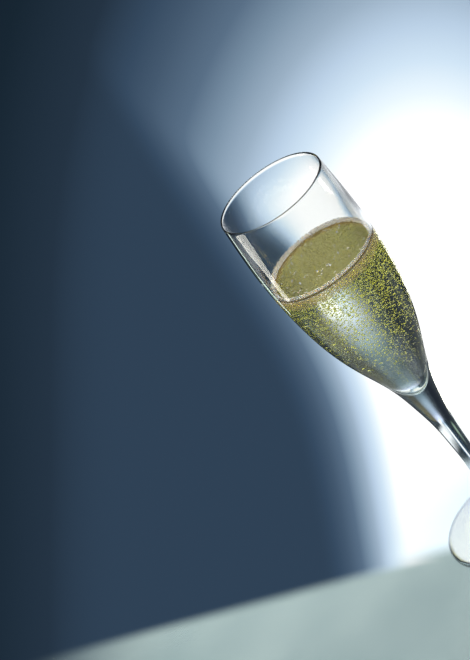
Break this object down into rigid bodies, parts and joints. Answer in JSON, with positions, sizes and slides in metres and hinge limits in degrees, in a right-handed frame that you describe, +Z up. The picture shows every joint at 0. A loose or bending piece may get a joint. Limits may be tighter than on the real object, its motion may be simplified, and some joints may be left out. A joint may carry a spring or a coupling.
{
  "type": "glass of prosecco",
  "caption": "Tulip-shaped stemmed flute of clear glass, half filled with pale gold sparkling white wine, with a collar of beads where the wine meets the wall.",
  "frame": {"origin": "centre of the foot on the table", "axes": "+Z up along the axis of the glass, from the foot to the rim; X and Y are alike, because the glass is turned"},
  "size_m": [0.066, 0.066, 0.196],
  "materials": {
    "clear_glass": "polished clear soda-lime glass",
    "wine": "clear pale straw-gold sparkling wine full of fine bubbles"
  },
  "bodies": {
    "root": {"glass": "clear_glass", "wine": "wine"}
  },
  "joints": []
}
